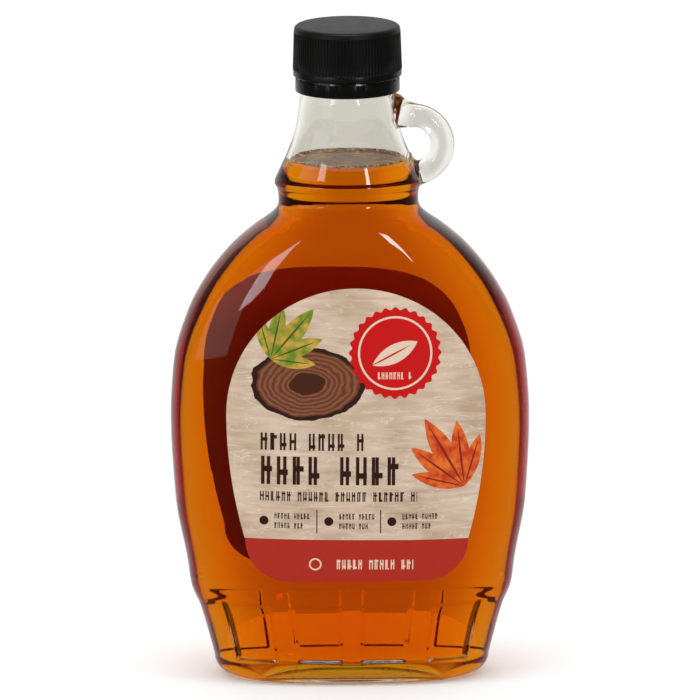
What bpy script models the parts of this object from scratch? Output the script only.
"""A glass flask of amber syrup: finger loop at the neck, ribbed screw cap, a paper label front and back.

The origin is the centre of the base where it stands. +Z is up, +X points to the finger loop, and the
front label faces -Y. Lengths are written in millimetres and become metres in the meshes.
"""

import bmesh
import bpy
import numpy as np

MM = 0.001
GAP = 0.3

# Flask, outside: height, half width, half depth, squareness of the oval (2 is a true ellipse), glass wall
SKIRT_FOOT = 6.5
FLASK = np.array(
    [
        (6.5, 39.4, 19.6, 2.60, 4.2),
        (10.0, 40.3, 19.8, 2.60, 3.0),
        (21.5, 43.6, 20.2, 2.60, 2.6),
        (24.1, 44.8, 20.6, 2.60, 2.5),
        (26.4, 45.7, 20.9, 2.60, 2.5),
        (28.8, 46.2, 21.1, 2.55, 2.4),
        (33.5, 46.8, 21.3, 2.55, 2.3),
        (52.2, 50.1, 21.8, 2.50, 2.3),
        (76.0, 51.3, 21.8, 2.50, 2.3),
        (92.0, 50.3, 21.3, 2.50, 2.3),
        (106.0, 46.3, 20.5, 2.45, 2.3),
        (115.3, 41.5, 19.7, 2.40, 2.3),
        (124.7, 34.2, 18.85, 2.35, 2.3),
        (131.2, 26.7, 18.35, 2.25, 2.2),
        (133.0, 24.1, 18.05, 2.15, 2.1),
        (134.6, 22.0, 17.65, 2.10, 2.1),
        (136.0, 20.7, 17.05, 2.00, 2.0),
        (136.8, 20.25, 16.5, 2.00, 2.0),
        (138.2, 19.95, 15.35, 2.00, 1.9),
        (139.2, 19.95, 15.1, 2.00, 1.8),
        (141.0, 20.1, 15.25, 2.00, 2.0),
        (142.6, 20.6, 15.6, 2.00, 2.3),
        (143.4, 21.05, 16.15, 2.00, 2.6),
        (144.2, 21.0, 16.2, 2.00, 2.6),
        (145.6, 20.45, 15.8, 2.00, 2.3),
        (147.0, 19.8, 15.45, 2.00, 2.0),
        (152.6, 17.25, 14.5, 2.00, 1.5),
        (157.2, 15.5, 14.1, 2.00, 1.3),
        (161.9, 14.45, 13.8, 2.00, 1.3),
        (168.6, 13.6, 13.6, 2.00, 1.5),
    ]
)

# Base: flat bearing ring, rounded heel outside it, shallow push-up inside it
BEARING = (32.2, 16.2)
BEARING_WIDTH = 2.2
PUSH_UP = 1.5
PUSH_UP_RINGS = ((0.55, 0.9), (0.9, 0.4))
HEEL_TURNS = (22, 45, 68)

# Inside: floor with a low dome over the push-up, rounded corner up to where the wall stands, and the bore
# of the neck
FLOOR = 2.5
FLOOR_DOME = 1.6
FLOOR_RING = 0.5
CORNER_TOP = 8.5
CORNER_TURNS = (0, 30, 58, 80)
CORNER_PULL = 0.7
INSIDE_SIDES = 28
NECK_STATIONS = (153.0, 158.0, 163.0)
THROAT_FOOT = 172.5
THROAT_TOP = 176.0
THROAT_FLARE = 1.6

# Recessed panels of the skirt: height range, edge bevel, depths at foot and top, and edges as fractions of
# the half width. A deeper upright bar ends each side panel.
PANEL_HEIGHTS = (6.8, 24.0)
PANEL_BEVEL = 0.8
PANEL_DEPTHS = (0.95, 0.45)
MIDDLE_PANEL = (0.06, 0.39)
SIDE_PANEL = (0.523, 0.838)
PANEL_SIDE_BEVEL = 0.025
BAR = (0.786, 0.838)
BAR_BEVEL = 0.016
BAR_DEPTH = 0.6

# Neck finish under the cap
FINISH_FOOT = 169.9
FINISH_RADIUS = 12.95
MOUTH_RADIUS = 9.8
LIP = 187.0
LIP_ROUND = 0.7

# Finger loop, a round rod bent in the X-Z plane
LOOP_CENTRE = (18.65, 154.3)
LOOP_RADIUS = 8.35
LOOP_ROD = 3.37
LOOP_END_ANGLE = -112.0
LOOP_FLARES = (1.9, 1.3)
LOOP_START_RISE = 1.3
LOOP_MELT = (13.2, 20.5)
LOOP_SIDES = 14
LOOP_START_X = (9.0, 13.2, 14.6, 16.2)
LOOP_END_FLARE = (0.2, 0.7, 1.0)

# Syrup
FILL_LEVEL = 149.4

# Cap
CAP_FOOT = 170.2
CAP_TOP = 189.1
BAND_RADIUS = 14.9
SLIT = (174.1, 174.6)
SLIT_DEPTH = 0.45
FLANGE_RADIUS = 15.5
FLANGE_TOP = 176.5
RIB_FOOT_RADIUS = 15.6
RIB_HEAD_RADIUS = 15.25
RIB_TOP = 187.5
RIB_DEPTH = 0.3
RIBS = 30
CAP_BORE = 13.5
BAND_BORE = 13.3
BORE_STEP = (174.0, 176.0)
TOP_EDGE = 1.0

# Labels: one outline, an arch over tapered sides and rounded lower corners. The back one is narrower and
# its arch squarer (2 is an ellipse).
LABEL_FOOT = 31.3
LABEL_CORNER = 12.0
LABEL_SHOULDER = 48.0
LABEL_ARCH = 37.0
LABEL_FOOT_HALF = 19.8
LABEL_CORNER_HALF = 31.9
LABEL_THICKNESS = 0.25
FRONT_LABEL = {"side": -1, "shift": 1.7, "share": 1.0, "squareness": 2.0}
BACK_LABEL = {"side": 1, "shift": -2.5, "share": 0.92, "squareness": 2.5}


def clear_scene():
    for obj in list(bpy.data.objects):
        bpy.data.objects.remove(obj, do_unlink=True)


def material(name, colour, roughness, alpha=1.0, transmission=0.0):
    made = bpy.data.materials.new(name)
    made.use_nodes = True
    shader = made.node_tree.nodes["Principled BSDF"]
    shader.inputs["Base Color"].default_value = (*colour, 1.0)
    shader.inputs["Roughness"].default_value = roughness
    shader.inputs["Metallic"].default_value = 0.0
    shader.inputs["Alpha"].default_value = alpha
    shader.inputs["Transmission Weight"].default_value = transmission
    return made


def smooth_curve(heights, stations, values):
    """Values at the given heights on the curve through the stations that never overshoots one.

    Each stretch is a cubic whose end slopes are the harmonic means of the chords that meet there.
    """
    step = np.diff(stations)
    chord = np.diff(values) / step
    slope = np.zeros(len(values))
    turning = chord[:-1] * chord[1:] > 0
    mean = 2 * chord[:-1] * chord[1:] / np.where(turning, chord[:-1] + chord[1:], 1)
    slope[1:-1] = np.where(turning, mean, 0)
    slope[0] = chord[0]
    slope[-1] = chord[-1]
    place = np.clip(np.searchsorted(stations, heights, side="right") - 1, 0, len(step) - 1)
    t = (heights - stations[place]) / step[place]
    width = step[place]
    rise = values[place + 1] - values[place]
    start = width * slope[place]
    end = width * slope[place + 1]
    return values[place] + start * t + (3 * rise - 2 * start - end) * t**2 + (start + end - 2 * rise) * t**3


def flask_section(heights):
    """Half width, half depth, squareness and wall of the flask at each height."""
    heights = np.asarray(heights, float)
    return [smooth_curve(heights, FLASK[:, 0], FLASK[:, column]) for column in (1, 2, 3, 4)]


def oval(half_width, half_depth, squareness, angles):
    """Points of a superellipse: each half axis times the cosine or sine to the power two over squareness."""
    power = 2 / squareness
    cosine = np.cos(angles)
    sine = np.sin(angles)
    x = half_width * np.sign(cosine) * np.abs(cosine) ** power
    y = half_depth * np.sign(sine) * np.abs(sine) ** power
    return x, y


def column_angles():
    """Angles of the flask's upright edges, with one at each edge of each panel, symmetric in both axes."""
    fractions = [0, 0.06, 0.085, 0.365, 0.39, 0.523, 0.54, 0.67, 0.786, 0.802, 0.822, 0.838, 0.94, 0.988, 1]
    quarter = np.arccos(np.array(fractions) ** (FLASK[0, 3] / 2))[::-1]
    half = np.concatenate([quarter, np.pi - quarter[-2::-1]])
    return np.concatenate([half, np.pi + half[1:-1]])


def shell(rings, name):
    """A closed skin over rings of equal point counts, bottom to top, with a fan at each end."""
    count = len(rings[0])
    points = np.concatenate(rings)
    ends = [rings[0].mean(axis=0), rings[-1].mean(axis=0)]
    points = np.concatenate([points, ends]) * MM
    faces = []
    for row in range(len(rings) - 1):
        for column in range(count):
            following = (column + 1) % count
            low = row * count
            faces.append((low + column, low + following, low + count + following, low + count + column))
    bottom = len(rings) * count
    top_row = (len(rings) - 1) * count
    for column in range(count):
        following = (column + 1) % count
        faces.append((bottom, following, column))
        faces.append((bottom + 1, top_row + column, top_row + following))
    mesh = bpy.data.meshes.new(name)
    mesh.from_pydata(points.tolist(), [], faces)
    obj = bpy.data.objects.new(name, mesh)
    bpy.context.scene.collection.objects.link(obj)
    return obj


def finish(obj, look, crease=35.0):
    obj.data.materials.clear()
    obj.data.materials.append(look)
    obj.data.shade_smooth()
    obj.data.set_sharp_from_angle(angle=np.radians(crease))


def boolean(target, other, operation):
    """Joins or cuts with the other object, applies it and removes that object."""
    modifier = target.modifiers.new(operation.title(), "BOOLEAN")
    modifier.operation = operation
    modifier.solver = "EXACT"
    modifier.object = other
    graph = bpy.context.evaluated_depsgraph_get()
    result = bpy.data.meshes.new_from_object(target.evaluated_get(graph))
    target.modifiers.clear()
    target.data = result
    bpy.data.objects.remove(other, do_unlink=True)


def panel_depths(fraction, height):
    """Depth of the skirt's recesses: zero outside a panel, with a short bevel at each edge.

    The panels get deeper towards their foot, and a deeper bar ends each side panel.
    """
    def window(value, low, high, bevel):
        return np.clip(np.minimum(value - low, high - value) / bevel, 0, 1)

    across = np.abs(fraction)
    upright = window(height, *PANEL_HEIGHTS, PANEL_BEVEL)
    middle = window(across, *MIDDLE_PANEL, PANEL_SIDE_BEVEL)
    side = window(across, *SIDE_PANEL, BAR_BEVEL)
    bar = BAR_DEPTH * window(across, *BAR, BAR_BEVEL)
    depth = np.interp(height, PANEL_HEIGHTS, PANEL_DEPTHS)
    return upright * (depth * (middle + side) + bar)


def outer_ring(height, angles):
    half_width, half_depth, squareness, _ = flask_section([height])
    x, y = oval(half_width, half_depth, squareness, angles)
    depth = panel_depths(x / half_width, height)
    y -= np.sign(y) * depth
    return np.column_stack([x, y, np.full(len(x), height)])


def flat_ring(half_width, half_depth, squareness, height, angles):
    x, y = oval(half_width, half_depth, squareness, angles)
    return np.column_stack([x, y, np.full(len(x), height)])


def heights_between(*stretches):
    """Heights of each stretch, given as from, to and how many steps, without repeats."""
    parts = [np.linspace(low, high, steps + 1)[:-1] for low, high, steps in stretches]
    return np.concatenate(parts + [[stretches[-1][1]]])


def flask_blank(angles):
    """The flask as a solid block of glass, before the loop is joined and the inside is cut."""
    foot = FLASK[0]
    squareness = foot[3]
    inner = (BEARING[0] - BEARING_WIDTH, BEARING[1] - BEARING_WIDTH)
    rings = [
        *(
            flat_ring(inner[0] * share, inner[1] * share, squareness, PUSH_UP * rise, angles)
            for share, rise in PUSH_UP_RINGS
        ),
        flat_ring(*inner, squareness, 0.0, angles),
        flat_ring(*BEARING, squareness, 0.0, angles),
    ]
    for turn in np.radians(HEEL_TURNS):
        width = BEARING[0] + (foot[1] - BEARING[0]) * np.sin(turn)
        depth = BEARING[1] + (foot[2] - BEARING[1]) * np.sin(turn)
        rings.append(flat_ring(width, depth, squareness, SKIRT_FOOT * (1 - np.cos(turn)), angles))
    low, high = PANEL_HEIGHTS
    heights = [
        *(SKIRT_FOOT, low, low + PANEL_BEVEL, 14.0, 20.0, high - PANEL_BEVEL, high),
        *heights_between((24.6, 28.8, 3), (33.5, 106, 9), (110.7, 131.6, 5)),
        *(134.6, 136.0, 136.8, 138.2, 139.2, 141.0, 142.6, 143.4, 144.2, 147.0),
        *heights_between((149.5, 161.9, 3), (168.6, 168.7, 1))[:-1],
    ]
    rings += [outer_ring(height, angles) for height in heights]
    rings += [
        flat_ring(FINISH_RADIUS, FINISH_RADIUS, 2, FINISH_FOOT, angles),
        flat_ring(FINISH_RADIUS, FINISH_RADIUS, 2, LIP - LIP_ROUND, angles),
        flat_ring(FINISH_RADIUS - LIP_ROUND, FINISH_RADIUS - LIP_ROUND, 2, LIP, angles),
    ]
    return shell(rings, "bottle")


def inside_rings(angles, top, inset):
    """Rings of the flask's inside, from the floor up to the given height, moved inwards by the inset."""
    bottom = FLOOR + inset
    half_width, half_depth, squareness, wall = [value[0] for value in flask_section([CORNER_TOP])]
    corner = CORNER_TOP - bottom
    pull = wall + inset + corner * CORNER_PULL
    inner = ((half_width - pull) * FLOOR_RING, (half_depth - pull) * FLOOR_RING)
    rings = [flat_ring(*inner, squareness, bottom + FLOOR_DOME, angles)]
    for turn in np.radians(CORNER_TURNS):
        pull = corner * (1 - np.sin(turn)) * CORNER_PULL
        width = half_width - wall - inset - pull
        depth = half_depth - wall - inset - pull
        rings.append(flat_ring(width, depth, squareness, CORNER_TOP - corner * np.cos(turn), angles))
    heights = heights_between((16, 28, 3), (32, 110, 8), (113, 131, 5), (133.6, 148, 6))
    heights = [*heights[heights < top - 1], top] if top < heights[-1] + 8 else [*heights]
    for height in heights:
        half_width, half_depth, squareness, wall = [value[0] for value in flask_section([height])]
        pull = wall + inset
        rings.append(flat_ring(half_width - pull, half_depth - pull, squareness, height, angles))
    return rings


def inside_angles():
    return np.linspace(0, 2 * np.pi, INSIDE_SIDES, endpoint=False)


def make_hollow():
    """The inside of the flask up through its mouth, as a cutter."""
    angles = inside_angles()
    rings = inside_rings(angles, LIP, 0.0)
    for height in NECK_STATIONS:
        half_width, half_depth, squareness, wall = [value[0] for value in flask_section([height])]
        rings.append(flat_ring(half_width - wall, half_depth - wall, squareness, height, angles))
    throat = (
        (MOUTH_RADIUS + THROAT_FLARE, THROAT_FOOT),
        (MOUTH_RADIUS, THROAT_TOP),
        (MOUTH_RADIUS, LIP + 2),
    )
    for radius, height in throat:
        rings.append(flat_ring(radius, radius, 2, height, angles))
    return shell(rings, "hollow")


def loop_path():
    """Middle line and rod radius of the loop: out of the neck, round, and down to the bead below.

    Where the rod melts into the neck, it lies higher and is thicker, by the square of how near the neck is.
    """
    centre_x, centre_z = LOOP_CENTRE
    turns = np.radians(np.linspace(90, LOOP_END_ANGLE, 17))
    x = np.concatenate([LOOP_START_X, centre_x + LOOP_RADIUS * np.cos(turns)])
    start = np.full(len(LOOP_START_X), centre_z + LOOP_RADIUS)
    z = np.concatenate([start, centre_z + LOOP_RADIUS * np.sin(turns)])
    near, far = LOOP_MELT
    melt = np.where(z > centre_z, np.clip((far - x) / (far - near), 0, 1) ** 2, 0)
    z += LOOP_START_RISE * melt
    radius = LOOP_ROD + LOOP_FLARES[0] * melt
    radius[-3:] += LOOP_FLARES[1] * np.array(LOOP_END_FLARE)
    return x, z, radius


def make_loop():
    """A rod of round section carried along the loop's middle line."""
    x, z, radius = loop_path()
    along_x = np.gradient(x)
    along_z = np.gradient(z)
    length = np.hypot(along_x, along_z)
    side_x = along_z / length
    side_z = -along_x / length
    around = np.linspace(0, 2 * np.pi, LOOP_SIDES, endpoint=False)
    rings = []
    for index in range(len(x)):
        out = radius[index] * np.cos(around)
        ring_x = x[index] + side_x[index] * out
        ring_y = radius[index] * np.sin(around)
        ring_z = z[index] + side_z[index] * out
        rings.append(np.column_stack([ring_x, ring_y, ring_z]))
    return shell(rings, "loop")


def face_outwards(obj):
    edit = bmesh.new()
    edit.from_mesh(obj.data)
    bmesh.ops.recalc_face_normals(edit, faces=edit.faces)
    edit.to_mesh(obj.data)
    edit.free()


def make_bottle():
    """Glass flask with its finger loop, open at the mouth."""
    bottle = flask_blank(column_angles())
    loop = make_loop()
    hollow = make_hollow()
    for obj in (bottle, loop, hollow):
        face_outwards(obj)
    boolean(bottle, loop, "UNION")
    boolean(bottle, hollow, "DIFFERENCE")
    finish(bottle, material("flint_glass", (0.90, 0.93, 0.92), 0.03, 0.35, 1.0), crease=40)
    return bottle


def make_syrup():
    """Syrup up to its level, a small gap inside the glass."""
    syrup = shell(inside_rings(inside_angles(), FILL_LEVEL, GAP), "syrup")
    face_outwards(syrup)
    finish(syrup, material("syrup", (0.45, 0.10, 0.01), 0.05, 0.9))
    return syrup


def cap_outline():
    """Radius, height and share of the rib depth at each ring of the cap, from the bore round to the top."""
    liner = LIP + GAP
    return [
        (CAP_BORE, liner, 0),
        (CAP_BORE, BORE_STEP[1], 0),
        (BAND_BORE, BORE_STEP[0], 0),
        (BAND_BORE, CAP_FOOT, 0),
        (BAND_RADIUS, CAP_FOOT, 0),
        (BAND_RADIUS, SLIT[0], 0),
        (BAND_RADIUS - SLIT_DEPTH, SLIT[0], 0),
        (BAND_RADIUS - SLIT_DEPTH, SLIT[1], 0),
        (FLANGE_RADIUS, SLIT[1], 0),
        (FLANGE_RADIUS, FLANGE_TOP, 0),
        (RIB_FOOT_RADIUS, FLANGE_TOP + 0.3, 1),
        (RIB_HEAD_RADIUS, RIB_TOP - 0.5, 1),
        (RIB_HEAD_RADIUS, RIB_TOP, 0),
        (RIB_HEAD_RADIUS - TOP_EDGE * 0.3, CAP_TOP - TOP_EDGE / 2, 0),
        (RIB_HEAD_RADIUS - TOP_EDGE, CAP_TOP, 0),
    ]


def make_cap():
    """Screw cap with its tear band, ribbed by moving every other upright edge inwards."""
    angles = np.radians(np.arange(0, 360, 180 / RIBS))
    valley = np.arange(len(angles)) % 2
    rings = []
    for radius, height, share in cap_outline():
        reach = radius - RIB_DEPTH * share * valley
        z = np.full(len(angles), height)
        rings.append(np.column_stack([reach * np.cos(angles), reach * np.sin(angles), z]))
    cap = shell(rings, "cap")
    face_outwards(cap)
    finish(cap, material("black_polypropylene", (0.02, 0.02, 0.02), 0.4), crease=25)
    return cap


def label_half_width(rise, share, arch_squareness):
    """Half width of a label at a height above its foot, as a share of the front label's."""
    corner = np.clip((LABEL_CORNER - rise) / LABEL_CORNER, 0, 1)
    taper = np.clip((LABEL_SHOULDER - rise) / (LABEL_SHOULDER - LABEL_CORNER), 0, 1)
    arch = np.clip((rise - LABEL_SHOULDER) / LABEL_ARCH, 0, 1)
    in_corner = LABEL_FOOT_HALF + (LABEL_CORNER_HALF - LABEL_FOOT_HALF) * np.sqrt(1 - corner**2)
    above = LABEL_ARCH - (LABEL_ARCH - LABEL_CORNER_HALF) * taper**2
    under_arch = above * (1 - arch**arch_squareness) ** (1 / arch_squareness)
    return share * np.where(rise < LABEL_CORNER, in_corner, under_arch)


def make_label(name, side, shift, share, squareness):
    """Paper skin that follows the flask's face, with the same gap under it everywhere."""
    bends = np.radians(np.arange(0, 91, 30))
    corner = LABEL_CORNER * (1 - np.cos(bends))
    arch = LABEL_SHOULDER + LABEL_ARCH * np.sin(np.radians([0, 25, 45, 62, 76, 86]))
    rises = np.concatenate([corner, [24.0, 36.0], arch])
    across = np.linspace(-1, 1, 12)
    layers = []
    for clearance in (GAP, GAP + LABEL_THICKNESS):
        x = shift + label_half_width(rises, share, squareness)[:, None] * across
        z = np.repeat((LABEL_FOOT + rises)[:, None], len(across), axis=1)
        half_width, half_depth, power, _ = flask_section(LABEL_FOOT + rises)
        reach = np.abs(x) / (half_width + clearance)[:, None]
        depth = (1 - reach ** power[:, None]) ** (1 / power[:, None])
        y = side * (half_depth + clearance)[:, None] * depth
        layers.append(np.stack([x, y, z], axis=2).reshape(-1, 3))
    rows = len(rises)
    columns = len(across)
    count = rows * columns
    grid = np.arange(count).reshape(rows, columns)
    quads = np.stack([grid[:-1, :-1], grid[:-1, 1:], grid[1:, 1:], grid[1:, :-1]], axis=2).reshape(-1, 4)
    rim = np.concatenate([grid[0, :-1], grid[:-1, -1], grid[-1, :0:-1], grid[:0:-1, 0]])
    walls = [(a, b, b + count, a + count) for a, b in zip(rim, np.roll(rim, -1))]
    faces = quads.tolist() + (quads[:, ::-1] + count).tolist() + [list(map(int, wall)) for wall in walls]
    mesh = bpy.data.meshes.new(name)
    mesh.from_pydata((np.concatenate(layers) * MM).tolist(), [], faces)
    label = bpy.data.objects.new(name, mesh)
    bpy.context.scene.collection.objects.link(label)
    face_outwards(label)
    finish(label, material(name + "_paper", (0.80, 0.72, 0.62), 0.6))
    return label


clear_scene()
make_bottle()
make_syrup()
make_cap()
make_label("label_front", **FRONT_LABEL)
make_label("label_back", **BACK_LABEL)
